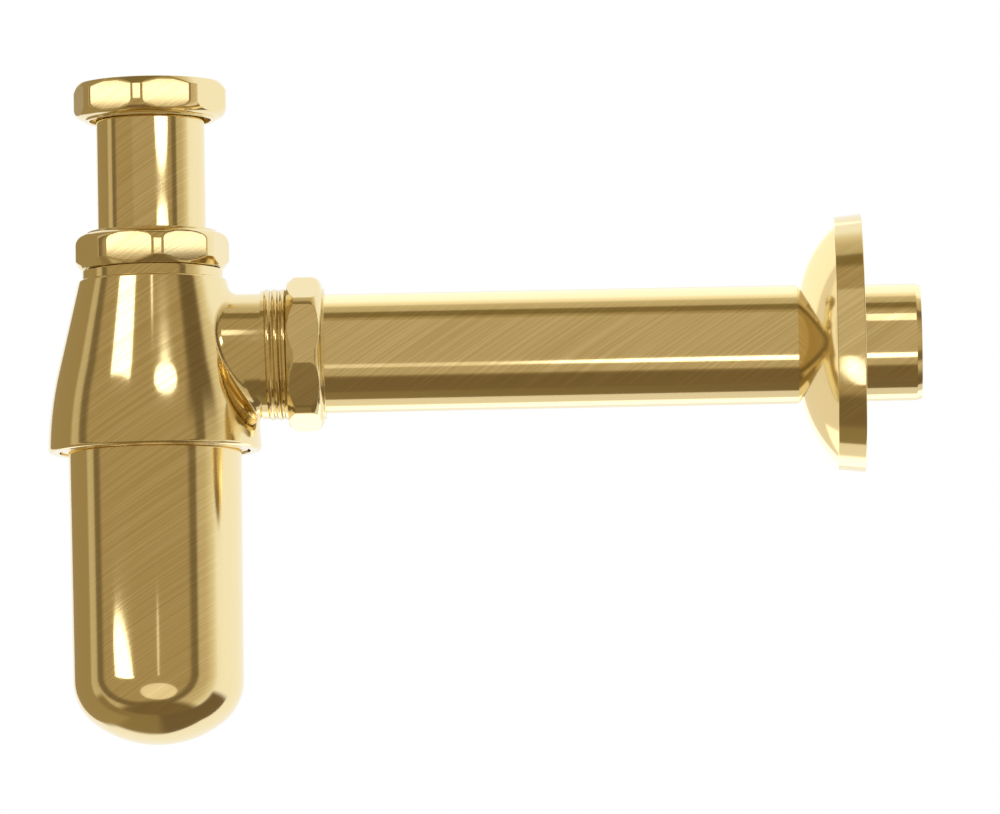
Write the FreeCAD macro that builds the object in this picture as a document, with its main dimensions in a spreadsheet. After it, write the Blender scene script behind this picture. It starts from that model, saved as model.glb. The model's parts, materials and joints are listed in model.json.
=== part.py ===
import FreeCAD, Part
import math
import os
from types import SimpleNamespace

import Sketcher

# Bottle trap for a wash basin. The inlet union points up (+Z) and the outlet pipe runs to the wall along +X.
# The origin is the middle of the mouth of the inlet nut. Each piece is drawn about the point where the
# inlet axis meets the outlet axis, and its placement then drops it by outlet_drop.

# Driving dimensions in millimetres. Heights and depths are measured from the outlet axis.
SIZES = {
    "outlet_drop": 81.0,
    # The three unions share one thread. Threads are drawn plain: a nut at the crests of its thread, and its
    # mate at the roots. Collars, tubes, nuts and necks take their sizes from the bore of the nut.
    "union_bore_diameter": 39.0,
    "union_thread_gap": 0.55,
    "collar_gap": 0.3,
    "collar_thickness": 2.0,
    "seat_gap": 0.2,
    # Union nuts: all three are the same forging, with the hole in the floor bored to suit its tube.
    "nut_height": 11.0,
    "nut_flat_wall": 2.0,
    "nut_corner_wall": 3.2,
    "nut_chamfer_height": 2.2,
    "nut_chamfer_depth": 1.5,
    "nut_round": 3.4,
    "nut_lip": 0.6,
    "nut_floor": 2.2,
    "nut_relief": 0.5,
    # Inlet tube, which is also the dip tube, and its washer.
    "inlet_collar_width": 3.2,
    "inlet_tube_wall": 1.2,
    "inlet_nut_gap": 1.9,
    "dip_depth": 75.0,
    "washer_thickness": 2.2,
    # Neck of the body, with its tapered seal and slip ring.
    "shoulder_rise": 2.6,
    "shoulder_width": 1.3,
    "neck_mouth_gap": 0.6,
    "neck_tube_gap": 0.3,
    "neck_nut_gap": 0.4,
    "slip_ring_thickness": 1.2,
    "seal_proud": 0.7,
    "seal_depth": 4.0,
    "seal_running_gap": 0.05,
    "seat_rim": 0.75,
    "seat_ledge": 0.6,
    # Cast bell.
    "bell_crown_rise": 4.7,
    "bell_top_step": 1.0,
    "bell_flare_depth": 4.2,
    "bell_flare_diameter": 56.8,
    "skirt_diameter": 62.8,
    "skirt_edge_round": 1.2,
    "bell_shoulder_round": 0.9,
    "cast_wall": 3.2,
    "throat_rise": 1.6,
    "neck_saddle_round": 3.0,
    # Cup and its seal.
    "cup_seat_land": 1.5,
    "cup_socket_depth": 12.6,
    "cup_socket_diameter": 56.3,
    "cup_thread_gap": 0.15,
    "cup_collar_recess": 0.4,
    "cup_top_diameter": 51.0,
    "cup_bottom_diameter": 50.2,
    "cup_wall": 1.2,
    "cup_depth": 114.4,
    "cup_knuckle_radius": 16.0,
    "cup_crown_radius": 31.0,
    "cup_seal_thickness": 2.0,
    "cup_seal_width": 2.4,
    # Side outlet, its gasket and the pipe to the wall.
    "outlet_neck_inset": 1.4,
    "outlet_neck_wall": 4.1,
    "outlet_thread_start": 32.0,
    "outlet_neck_end": 44.5,
    "gasket_thickness": 2.0,
    "pipe_collar_width": 1.7,
    "pipe_wall": 1.2,
    "pipe_nut_gap": 0.4,
    "pipe_end": 226.0,
    "spigot_step": 0.3,
    "spigot_bevel": 0.5,
    "spigot_bevel_length": 1.5,
    # Wall flange, pressed from sheet and open at the back.
    "wall_distance": 209.0,
    "flange_diameter": 76.2,
    "flange_depth": 19.3,
    "flange_sheet": 1.1,
    "flange_lead": 1.0,
    "flange_slope": 0.27,
    "flange_dome_radius": 40.0,
    "flange_crease_inset": 0.9,
    "flange_pipe_gap": 0.3,
    "flange_stand_off": 0.6,
}

# The nuts are left with this much turn past a flat, in degrees.
NUT_TURN = -15.5

doc = FreeCAD.newDocument("bottle_trap")
sheet = doc.addObject("Spreadsheet::Sheet", "Sizes")
for row, (alias, value) in enumerate(SIZES.items(), 1):
    sheet.set(f"A{row}", alias)
    sheet.set(f"B{row}", str(value))
    sheet.setAlias(f"B{row}", alias)
doc.recompute()


class Length:
    """A number together with the sheet expression it comes from, so that sums of sizes stay bound."""

    def __init__(self, value, text=None):
        self.value = float(value)
        self.text = text or f"({self.value})"

    def __add__(self, other):
        other = as_length(other)
        return Length(self.value + other.value, f"({self.text} + {other.text})")

    def __sub__(self, other):
        other = as_length(other)
        return Length(self.value - other.value, f"({self.text} - {other.text})")

    def __mul__(self, other):
        other = as_length(other)
        return Length(self.value * other.value, f"({self.text} * {other.text})")

    def __truediv__(self, other):
        other = as_length(other)
        return Length(self.value / other.value, f"({self.text} / {other.text})")

    def __neg__(self):
        return as_length(0) - self


def as_length(number):
    """A plain number as a Length."""
    return number if isinstance(number, Length) else Length(number)


def root(length):
    """The square root of a Length."""
    return Length(math.sqrt(length.value), f"sqrt({length.text})")


size = SimpleNamespace(**{alias: Length(value, f"Sizes.{alias}") for alias, value in SIZES.items()})
ORIGIN = as_length(0)


class Point:
    """A corner of an outline, reached by a straight line."""

    curved = False

    def __init__(self, across, up):
        self.across = as_length(across)
        self.up = as_length(up)

    def spot(self):
        return FreeCAD.Vector(self.across.value, self.up.value, 0)


class ArcTo(Point):
    """A corner of an outline, reached by an arc that leaves the step before it without a kink."""

    curved = True


def new_body(label):
    """An empty body, dropped from the crossing of the axes to its place under the inlet."""
    body = doc.addObject("PartDesign::Body", label)
    body.Label = label
    body.setExpression("Placement.Base.z", (-size.outlet_drop).text)
    return body


def datum(body, role):
    """One of a body's own origin planes or axes."""
    return next(feature for feature in body.Origin.OriginFeatures if feature.Role == role)


def tangent_arc(start, end, heading):
    """The arc from start to end that sets off along heading: its geometry, its heading at the end,
    and whether it turns left."""
    chord = end - start
    left = FreeCAD.Vector(-heading.y, heading.x, 0)
    side = chord.dot(left)
    turns_left = side > 0
    middle = start + left * (chord.dot(chord) / (2 * side))
    from_middle = [spot - middle for spot in (start, end)]
    angles = [math.atan2(spoke.y, spoke.x) for spoke in from_middle]
    if not turns_left:
        angles.reverse()
    circle = Part.Circle(middle, FreeCAD.Vector(0, 0, 1), from_middle[0].Length)
    spoke = from_middle[1] / from_middle[1].Length
    ahead = FreeCAD.Vector(-spoke.y, spoke.x, 0) * (1 if turns_left else -1)
    return Part.ArcOfCircle(circle, *angles), ahead, turns_left


def draw(body, name, plane, points):
    """A closed outline through the points, on one of the body's origin planes, bound to the sheet."""
    sketch = body.newObject("Sketcher::SketchObject", name)
    sketch.AttachmentSupport = [(datum(body, plane), "")]
    sketch.MapMode = "FlatFace"
    ends = []
    heading = None
    for index, point in enumerate(points):
        target = points[(index + 1) % len(points)]
        start = point.spot()
        end = target.spot()
        if target.curved:
            piece, heading, turns_left = tangent_arc(start, end, heading)
            ends.append((1, 2) if turns_left else (2, 1))
        else:
            piece = Part.LineSegment(start, end)
            heading = (end - start).normalize()
            ends.append((1, 2))
        sketch.addGeometry(piece, False)
    for index, point in enumerate(points):
        before = (index - 1) % len(points)
        kind = "Tangent" if points[(index + 1) % len(points)].curved else "Coincident"
        sketch.addConstraint(Sketcher.Constraint(kind, before, ends[before][1], index, ends[index][0]))
        place(sketch, index, ends[index][0], "DistanceX", point.across)
        place(sketch, index, ends[index][0], "DistanceY", point.up)
    doc.recompute()
    return sketch


def place(sketch, piece, end, direction, length):
    """Holds one end of a sketch piece on an axis, or at a bound distance from the sketch origin."""
    if length is ORIGIN:
        upright_or_level_axis = -2 if direction == "DistanceX" else -1
        sketch.addConstraint(Sketcher.Constraint("PointOnObject", piece, end, upright_or_level_axis))
        return
    index = sketch.addConstraint(Sketcher.Constraint(direction, -1, 1, piece, end, length.value))
    sketch.setExpression(f"Constraints[{index}]", length.text)


def turn(body, name, axis, points, kind="PartDesign::Revolution"):
    """Turns an outline in the upright plane a full circle about one of the body's axes."""
    feature = body.newObject(kind, name)
    feature.Profile = draw(body, f"{name}_outline", "XZ_Plane", points)
    feature.ReferenceAxis = (datum(body, axis), [""])
    feature.Angle = 360
    doc.recompute()
    return feature


def hollow(body, name, axis, points):
    """Cuts an outline turned about one of the body's axes out of the body."""
    return turn(body, name, axis, points, "PartDesign::Groove")


def round_edges(body, name, radius, wanted):
    """Rounds the edges of the body's last feature that the test picks."""
    base = body.Tip
    names = [f"Edge{number}" for number, edge in enumerate(base.Shape.Edges, 1) if wanted(edge)]
    fillet = body.newObject("PartDesign::Fillet", name)
    fillet.Base = (base, names)
    fillet.setExpression("Radius", radius.text)
    doc.recompute()
    return fillet


def ring(label, inner, outer, bottom, top, axis="Z_Axis"):
    """A plain ring with a rectangular section."""
    body = new_body(label)
    section = [(inner, bottom), (outer, bottom), (outer, top), (inner, top)]
    if axis == "X_Axis":
        section = [(along, out) for out, along in section]
    turn(body, f"{label}_ring", axis, [Point(*corner) for corner in section])
    return body


# Places that several pieces share
nut_depth = size.nut_height - size.nut_floor
union_bore_radius = size.union_bore_diameter / 2
union_thread_radius = union_bore_radius - size.union_thread_gap
collar_radius = union_bore_radius - size.collar_gap
inlet_tube_radius = collar_radius - size.inlet_collar_width
pipe_radius = collar_radius - size.pipe_collar_width

inlet_floor_top = size.outlet_drop - nut_depth
inlet_collar_top = inlet_floor_top + size.collar_thickness
inlet_washer_top = inlet_collar_top + size.washer_thickness

outlet_neck_radius = union_bore_radius - size.outlet_neck_inset
outlet_bore_radius = outlet_neck_radius - size.outlet_neck_wall
bell_top = outlet_neck_radius + size.bell_crown_rise
shoulder_top = bell_top + size.shoulder_rise
throat = outlet_bore_radius + size.throat_rise

neck_nut_mouth = shoulder_top + size.neck_mouth_gap
slip_ring_top = neck_nut_mouth + nut_depth
seal_top = slip_ring_top - size.slip_ring_thickness
neck_rim = seal_top - size.seal_proud
seat_bottom = neck_rim - size.seal_depth
neck_bore_radius = inlet_tube_radius + size.neck_tube_gap
seat_top_radius = union_thread_radius - size.seat_rim
seat_bottom_radius = neck_bore_radius + size.seat_ledge

cup_ledge = -(outlet_bore_radius + size.cup_seat_land)
skirt_bottom = cup_ledge - size.cup_socket_depth
cup_socket_radius = size.cup_socket_diameter / 2
cup_collar_radius = cup_socket_radius - size.cup_thread_gap
cup_collar_top = cup_ledge - size.cup_seal_thickness

pipe_collar_start = size.outlet_neck_end + size.gasket_thickness
pipe_collar_end = pipe_collar_start + size.collar_thickness
outlet_nut_mouth = pipe_collar_end - nut_depth


def union_nut(label, hole_radius):
    """An octagon nut with its threaded mouth at the bottom and its rounded, lipped floor at the top."""
    body = new_body(label)
    half_flats = union_bore_radius + size.nut_flat_wall
    half_side = half_flats * math.tan(math.radians(22.5))
    quarter = [(half_flats, half_side), (half_side, half_flats)]
    corners = quarter + [(-across, up) for across, up in reversed(quarter)]
    corners += [(-across, -up) for across, up in corners]
    octagon = draw(body, f"{label}_octagon", "XY_Plane", [Point(*corner) for corner in corners])
    pad = body.newObject("PartDesign::Pad", f"{label}_blank")
    pad.Profile = octagon
    pad.setExpression("Length", size.nut_height.text)
    doc.recompute()

    turned = union_bore_radius + size.nut_corner_wall
    lip_radius = turned - size.nut_round
    lip_bottom = size.nut_height - size.nut_lip
    clear_of_corners = half_flats * 1.2
    hollow(body, f"{label}_turned", "Z_Axis", [
        Point(turned - size.nut_chamfer_depth, ORIGIN),
        Point(turned, size.nut_chamfer_height),
        Point(turned, lip_bottom - size.nut_round),
        ArcTo(lip_radius, lip_bottom),
        Point(lip_radius, size.nut_height),
        Point(clear_of_corners, size.nut_height),
        Point(clear_of_corners, ORIGIN),
    ])

    thread_length = nut_depth - size.collar_thickness - size.washer_thickness - size.seat_gap
    hollow(body, f"{label}_bore", "Z_Axis", [
        Point(ORIGIN, ORIGIN),
        Point(union_bore_radius, ORIGIN),
        Point(union_bore_radius, thread_length),
        Point(union_bore_radius + size.nut_relief, thread_length),
        Point(union_bore_radius + size.nut_relief, nut_depth),
        Point(hole_radius, nut_depth),
        Point(hole_radius, size.nut_height),
        Point(ORIGIN, size.nut_height),
    ])
    return body


def stand(body, tilt_axis, tilt, **bases):
    """Turns a piece from its own axis to where it is used, and binds its place to the sheet."""
    turned = FreeCAD.Rotation(FreeCAD.Vector(0, 0, 1), NUT_TURN)
    body.Placement = FreeCAD.Placement(FreeCAD.Vector(), FreeCAD.Rotation(tilt_axis, tilt) * turned)
    for direction, length in bases.items():
        body.setExpression(f"Placement.Base.{direction}", length.text)


def inlet_union():
    """The inlet nut, and the collared tube and washer that it clamps to the basin waste."""
    nut = union_nut("inlet_union_nut", inlet_tube_radius + size.inlet_nut_gap)
    stand(nut, FreeCAD.Vector(1, 0, 0), 180, z=ORIGIN)

    bore = inlet_tube_radius - size.inlet_tube_wall
    ring("inlet_washer", bore, collar_radius, inlet_collar_top, inlet_washer_top)

    tube = new_body("inlet_tube")
    turn(tube, "inlet_tube_wall", "Z_Axis", [
        Point(bore, -size.dip_depth),
        Point(inlet_tube_radius, -size.dip_depth),
        Point(inlet_tube_radius, inlet_floor_top),
        Point(collar_radius, inlet_floor_top),
        Point(collar_radius, inlet_collar_top),
        Point(bore, inlet_collar_top),
    ])


def neck_union():
    """The neck nut with the slip ring and the tapered seal that it presses round the inlet tube."""
    nut = union_nut("neck_nut", inlet_tube_radius + size.neck_nut_gap)
    stand(nut, FreeCAD.Vector(1, 0, 0), 0, z=neck_nut_mouth - size.outlet_drop)
    ring("neck_slip_ring", neck_bore_radius, collar_radius, seal_top, slip_ring_top)

    seal = new_body("neck_seal")
    lips = inlet_tube_radius + size.seal_running_gap
    turn(seal, "neck_seal_wedge", "Z_Axis", [
        Point(lips, seat_bottom),
        Point(seat_bottom_radius, seat_bottom),
        Point(seat_top_radius, neck_rim),
        Point(seat_top_radius, seal_top),
        Point(lips, seal_top),
    ])


def trap_body():
    """The cast bell: neck and skirt in one turning, with the side outlet blended into it."""
    body = new_body("trap_body")
    shoulder_radius = union_bore_radius + size.shoulder_width
    bell_top_radius = shoulder_radius + size.bell_top_step
    flare_radius = size.bell_flare_diameter / 2
    skirt_radius = size.skirt_diameter / 2
    turn(body, "bell", "Z_Axis", [
        Point(ORIGIN, neck_rim),
        Point(union_thread_radius, neck_rim),
        Point(union_thread_radius, shoulder_top),
        Point(shoulder_radius, shoulder_top),
        Point(shoulder_radius, bell_top),
        Point(bell_top_radius, bell_top),
        Point(flare_radius, -size.bell_flare_depth),
        ArcTo(skirt_radius, skirt_bottom),
        Point(ORIGIN, skirt_bottom),
    ])

    turn(body, "outlet_neck", "X_Axis", [
        Point(ORIGIN, ORIGIN),
        Point(ORIGIN, outlet_neck_radius),
        Point(size.outlet_thread_start, outlet_neck_radius),
        Point(size.outlet_thread_start, union_thread_radius),
        Point(size.outlet_neck_end, union_thread_radius),
        Point(size.outlet_neck_end, ORIGIN),
    ])

    def on_saddle(edge):
        spots = [edge.valueAt(at) for at in edge.ParameterRange]
        spots.append(edge.valueAt(sum(edge.ParameterRange) / 2))
        offsets = [math.hypot(spot.y, spot.z) - outlet_neck_radius.value for spot in spots]
        short_of_thread = max(spot.x for spot in spots) < size.outlet_thread_start.value - 0.01
        return short_of_thread and max(abs(offset) for offset in offsets) < 0.01

    def at_circle(radius, height):
        def picks(edge):
            spot = edge.valueAt(edge.FirstParameter)
            far_out = math.hypot(spot.x, spot.y)
            level = edge.BoundBox.ZLength < 0.01
            return level and abs(far_out - radius.value) < 0.01 and abs(spot.z - height.value) < 0.01
        return picks

    round_edges(body, "saddle_round", size.neck_saddle_round, on_saddle)
    round_edges(body, "skirt_round", size.skirt_edge_round, at_circle(skirt_radius, skirt_bottom))
    round_edges(body, "shoulder_round", size.bell_shoulder_round,
                at_circle(bell_top_radius, bell_top))

    throat_share = (bell_top - throat) / (bell_top + size.bell_flare_depth)
    bell_at_throat = bell_top_radius + (flare_radius - bell_top_radius) * throat_share
    cavity_radius = flare_radius - size.cast_wall
    hollow(body, "cavity", "Z_Axis", [
        Point(ORIGIN, neck_rim),
        Point(seat_top_radius, neck_rim),
        Point(seat_bottom_radius, seat_bottom),
        Point(neck_bore_radius, seat_bottom),
        Point(neck_bore_radius, throat),
        Point(bell_at_throat - size.cast_wall, throat),
        Point(cavity_radius, -size.bell_flare_depth),
        Point(cavity_radius, cup_ledge),
        Point(cup_socket_radius, cup_ledge),
        Point(cup_socket_radius, skirt_bottom),
        Point(ORIGIN, skirt_bottom),
    ])
    hollow(body, "outlet_bore", "X_Axis", [
        Point(ORIGIN, ORIGIN),
        Point(ORIGIN, outlet_bore_radius),
        Point(size.outlet_neck_end, outlet_bore_radius),
        Point(size.outlet_neck_end, ORIGIN),
    ])


def bottle():
    """The cup with its threaded collar and dished bottom, and the ring that seals it in the skirt."""
    seal_outer = cup_socket_radius - size.collar_gap
    ring("cup_seal", seal_outer - size.cup_seal_width, seal_outer, cup_collar_top, cup_ledge)

    cup = new_body("bottle_cup")
    knuckle = size.cup_knuckle_radius
    crown = size.cup_crown_radius
    wall = size.cup_wall
    top_radius = size.cup_top_diameter / 2
    bottom_radius = size.cup_bottom_diameter / 2
    knuckle_middle = bottom_radius - knuckle
    crown_rise = root((crown - knuckle) * (crown - knuckle) - knuckle_middle * knuckle_middle)
    crown_middle = crown - size.cup_depth
    wall_end = crown_middle - crown_rise

    def dish(inset):
        """The knuckle and crown arcs of the bottom, inset from its outside."""
        reach = (crown - inset) / (crown - knuckle)
        return [
            ArcTo(knuckle_middle * reach, crown_middle - crown_rise * reach),
            ArcTo(ORIGIN, inset - size.cup_depth),
        ]

    collar_bottom = skirt_bottom + size.cup_collar_recess
    turn(cup, "cup_blank", "Z_Axis", [
        Point(ORIGIN, cup_collar_top),
        Point(cup_collar_radius, cup_collar_top),
        Point(cup_collar_radius, collar_bottom),
        Point(top_radius, collar_bottom),
        Point(bottom_radius, wall_end),
        *dish(ORIGIN),
    ])
    hollow(cup, "cup_inside", "Z_Axis", [
        Point(ORIGIN, cup_collar_top),
        Point(top_radius - wall, cup_collar_top),
        Point(top_radius - wall, collar_bottom),
        Point(bottom_radius - wall, wall_end),
        *dish(wall),
    ])


def outlet_union():
    """The outlet nut, and the gasket and collared pipe that it draws onto the side outlet."""
    nut = union_nut("outlet_nut", pipe_radius + size.pipe_nut_gap)
    stand(nut, FreeCAD.Vector(0, 1, 0), 90, x=outlet_nut_mouth, z=-size.outlet_drop)

    bore = pipe_radius - size.pipe_wall
    ring("outlet_gasket", bore, collar_radius, size.outlet_neck_end, pipe_collar_start, "X_Axis")

    pipe = new_body("outlet_pipe")
    spigot_start = size.wall_distance + size.flange_stand_off
    spigot_radius = pipe_radius - size.spigot_step
    turn(pipe, "outlet_pipe_wall", "X_Axis", [
        Point(pipe_collar_start, bore),
        Point(pipe_collar_start, collar_radius),
        Point(pipe_collar_end, collar_radius),
        Point(pipe_collar_end, pipe_radius),
        Point(spigot_start, pipe_radius),
        Point(spigot_start, spigot_radius),
        Point(size.pipe_end - size.spigot_bevel_length, spigot_radius),
        Point(size.pipe_end, spigot_radius - size.spigot_bevel),
        Point(size.pipe_end, bore),
    ])


def wall_flange():
    """The pressed cover plate: a low dome that meets a straight rim at a crease, open at the back."""
    flange = new_body("wall_flange")
    hole = pipe_radius + size.flange_pipe_gap
    rim = size.flange_diameter / 2
    front = size.wall_distance - size.flange_depth
    back = size.wall_distance
    dome = size.flange_dome_radius
    slope = size.flange_slope
    slant = root(slope * slope + 1)
    middle_out = hole + size.flange_lead - dome * slope / slant
    middle_along = front + slope * size.flange_lead + dome / slant

    def skin(inset):
        """The section from the hole out to the wall, inset from the outside of the plate."""
        bend = dome - inset
        start_out = middle_out + bend * slope / slant
        start_along = middle_along - bend / slant
        crease_out = rim - size.flange_crease_inset - inset
        rise = crease_out - middle_out
        return [
            Point(start_along - slope * (start_out - hole), hole),
            Point(start_along, start_out),
            ArcTo(middle_along - root(bend * bend - rise * rise), crease_out),
            Point(back, rim - inset),
        ]

    turn(flange, "flange_blank", "X_Axis", [
        Point(front, ORIGIN),
        *skin(ORIGIN),
        Point(back, ORIGIN),
    ])
    hollow(flange, "flange_inside", "X_Axis", [
        Point(front, ORIGIN),
        Point(front, hole),
        *skin(size.flange_sheet),
        Point(back, ORIGIN),
    ])


inlet_union()
neck_union()
trap_body()
bottle()
outlet_union()
wall_flange()
doc.recompute()

broken = [item.Label for item in doc.Objects if {"Invalid", "Error"} & set(item.State)]
bodies = [item for item in doc.Objects if item.TypeId == "PartDesign::Body"]
broken += [body.Label for body in bodies if body.Shape.isNull() or not body.Shape.isValid()]
if broken:
    raise RuntimeError(f"these objects did not build: {sorted(set(broken))}")
os.makedirs("parts", exist_ok=True)
for body in bodies:
    body.Shape.exportStep(f"parts/{body.Label}.step")
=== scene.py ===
"""Looks of a polished brass bottle trap: turned tubes and cup, octagon union nuts and screw threads."""

import json
import logging
import math
from dataclasses import dataclass
from enum import Enum

import bpy
import numpy as np
from mathutils import Euler, Matrix, Vector

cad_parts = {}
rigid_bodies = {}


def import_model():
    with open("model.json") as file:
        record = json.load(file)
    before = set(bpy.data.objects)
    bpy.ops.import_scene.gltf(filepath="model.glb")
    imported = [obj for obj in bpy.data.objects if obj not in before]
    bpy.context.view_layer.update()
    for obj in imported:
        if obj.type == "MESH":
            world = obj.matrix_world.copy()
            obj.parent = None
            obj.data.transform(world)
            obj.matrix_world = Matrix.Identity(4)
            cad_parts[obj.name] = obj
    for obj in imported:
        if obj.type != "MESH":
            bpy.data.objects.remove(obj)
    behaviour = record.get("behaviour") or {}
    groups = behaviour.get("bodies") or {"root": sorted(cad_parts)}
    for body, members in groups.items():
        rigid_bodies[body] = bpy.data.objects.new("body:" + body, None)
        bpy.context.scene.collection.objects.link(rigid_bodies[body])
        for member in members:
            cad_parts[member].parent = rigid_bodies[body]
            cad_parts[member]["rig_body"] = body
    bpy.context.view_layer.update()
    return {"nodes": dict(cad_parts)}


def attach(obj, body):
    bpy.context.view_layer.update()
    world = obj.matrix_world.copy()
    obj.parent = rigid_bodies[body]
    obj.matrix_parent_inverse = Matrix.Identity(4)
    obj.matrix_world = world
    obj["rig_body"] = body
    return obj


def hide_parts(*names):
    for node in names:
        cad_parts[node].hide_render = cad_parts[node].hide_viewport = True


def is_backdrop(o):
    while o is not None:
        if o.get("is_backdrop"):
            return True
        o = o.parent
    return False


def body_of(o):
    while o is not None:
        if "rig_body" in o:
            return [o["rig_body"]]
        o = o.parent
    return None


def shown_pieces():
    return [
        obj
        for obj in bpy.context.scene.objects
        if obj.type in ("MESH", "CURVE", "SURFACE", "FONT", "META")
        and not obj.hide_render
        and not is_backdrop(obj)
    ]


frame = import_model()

MM = 0.001
WHITE = "ffffff"
FRAME_PIXELS = 1000
SENSOR_MM = 36.0
SIGHT_LIMIT_M = 100.0
# Height of the outlet's axis, from the mouth of the inlet nut.
OUTLET_LEVEL_MM = -81.0
# The inlet and the outlet union share the collar of their tube and the hole of the nut behind it.
COLLAR_RADIUS_MM = 19.2
COLLAR_NUT_HOLE_MM = 17.9
# Eleven turns to the inch, on every nut and on the trap's body.
UNION_PITCH_MM = 2.309
NUT_FLATS = 8
# Share of a thread's size that is left at its very end.
THREAD_TIP = 0.02
# Chords round a turned piece, across a rounded edge, and along a large arc of a section.
SEGMENTS = 224
EDGE_STEPS = 6
ARC_STEPS = 40
# A ring of points nearer to the axis than this is one point on it.
POLE_MM = 1e-6
# A face that looks at the axis more squarely than this is the wall of a bore.
BORE_FACING = 0.9

log = logging.getLogger("bottle_trap")


class Slot(Enum):
    """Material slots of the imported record."""

    BRASS = "polished_brass"
    RUBBER = "black_rubber"
    PLASTIC = "white_plastic"


class LampShape(Enum):
    """Shapes of a lamp's face."""

    OBLONG = "RECTANGLE"
    OVAL = "ELLIPSE"


class Axis(Enum):
    """The way a turned piece's own axis points in the frame, as a turn from straight up."""

    UP = (0.0, "X")
    DOWN = (180.0, "X")
    OUT = (90.0, "Y")

    def stand(self, base_mm: tuple[float, float, float]) -> Matrix:
        """Gives the placement of a piece that is drawn about its own axis.

        Args:
            base_mm: Where the piece's own origin goes.

        Returns:
            The matrix to apply to its mesh, which is in metres.
        """
        angle, about = self.value
        return Matrix.Translation(Vector(base_mm) * MM) @ Matrix.Rotation(math.radians(angle), 4, about)


def linear(hex_colour: str) -> tuple[float, float, float, float]:
    """Turns an sRGB colour into the linear one that shaders take.

    Args:
        hex_colour: Six hex digits, such as "e6c98b".

    Returns:
        Linear red, green and blue, with full alpha.
    """
    shares = [int(hex_colour[at:at + 2], 16) / 255 for at in (0, 2, 4)]
    levels = [share / 12.92 if share <= 0.04045 else ((share + 0.055) / 1.055) ** 2.4 for share in shares]
    return (*levels, 1.0)


def add_node(tree: bpy.types.NodeTree, kind: str, settings: dict | None = None,
             inputs: dict | None = None) -> bpy.types.Node:
    """Adds a node with its settings, and fills or links its inputs.

    Args:
        tree: The node tree that gets the node.
        kind: The node's type name.
        settings: Attributes to set on the node.
        inputs: Values, or output sockets to link, by the input's name or number.

    Returns:
        The new node.
    """
    node = tree.nodes.new(kind)
    for name, value in (settings or {}).items():
        setattr(node, name, value)
    for key, value in (inputs or {}).items():
        if isinstance(value, bpy.types.NodeSocket):
            tree.links.new(value, node.inputs[key])
        else:
            node.inputs[key].default_value = value
    return node


@dataclass(frozen=True)
class PolishedBrass:
    """Brass under clear lacquer, with slanting polishing marks: the smoother, the sharper its mirroring."""

    name: str = "polished_brass"
    colour: str = "f5e3b0"
    streak_colour: str = "e5d099"
    roughness: float = 0.1
    hairline_mm: float = 0.75
    hairline_length_mm: float = 90.0
    hairline_through_mm: float = 400.0
    hairline_slant_deg: float = 33.0
    hairline_depth_mm: float = 0.0012
    hairline_octaves: float = 3.0
    hairline_raggedness: float = 0.65
    streak_from: float = 0.34
    streak_to: float = 0.66
    front_from: float = 0.55
    front_full: float = 0.95

    def build(self) -> bpy.types.Material:
        """Makes the material.

        Returns:
            The material, with its marks laid out in the frame's own directions.
        """
        material = bpy.data.materials.new(self.name)
        material.use_nodes = True
        tree = material.node_tree
        shader = tree.nodes["Principled BSDF"]
        shader.inputs["Metallic"].default_value = 1.0
        shader.inputs["Roughness"].default_value = self.roughness
        place = add_node(tree, "ShaderNodeTexCoord")
        # Polishing marks are far finer than this on the real one; they are drawn this coarse to show at all.
        slanted = add_node(tree, "ShaderNodeMapping", {"vector_type": "TEXTURE"}, {
            "Vector": place.outputs["Object"],
            "Rotation": (0.0, -math.radians(self.hairline_slant_deg), 0.0),
            "Scale": (self.hairline_length_mm * MM, self.hairline_through_mm * MM, self.hairline_mm * MM),
        })
        marks = add_node(tree, "ShaderNodeTexNoise", {}, {
            "Vector": slanted.outputs["Vector"], "Scale": 1.0,
            "Detail": self.hairline_octaves, "Roughness": self.hairline_raggedness,
        })
        sharpened = add_node(tree, "ShaderNodeMapRange", {"interpolation_type": "SMOOTHSTEP"}, {
            "Value": marks.outputs["Fac"], "From Min": self.streak_from, "From Max": self.streak_to,
        })
        # The marks run across the front and the back, and fade where the metal turns up, down or aside.
        facing = add_node(tree, "ShaderNodeSeparateXYZ", {}, {0: place.outputs["Normal"]})
        fronting = add_node(tree, "ShaderNodeMath", {"operation": "ABSOLUTE"}, {0: facing.outputs["Y"]})
        faded = add_node(tree, "ShaderNodeMapRange", {"interpolation_type": "SMOOTHSTEP"}, {
            "Value": fronting.outputs[0], "From Min": self.front_from, "From Max": self.front_full,
            "To Min": 1.0, "To Max": 0.0,
        })
        clear = add_node(tree, "ShaderNodeMath", {"operation": "MAXIMUM"}, {
            0: sharpened.outputs["Result"], 1: faded.outputs["Result"],
        })
        tint = add_node(tree, "ShaderNodeMix", {"data_type": "RGBA"}, {
            0: clear.outputs[0], 6: linear(self.streak_colour), 7: linear(self.colour),
        })
        tree.links.new(tint.outputs[2], shader.inputs["Base Color"])
        bump = add_node(tree, "ShaderNodeBump", {}, {
            "Height": marks.outputs["Fac"], "Strength": 1.0, "Distance": self.hairline_depth_mm * MM,
        })
        tree.links.new(bump.outputs["Normal"], shader.inputs["Normal"])
        return material


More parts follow.
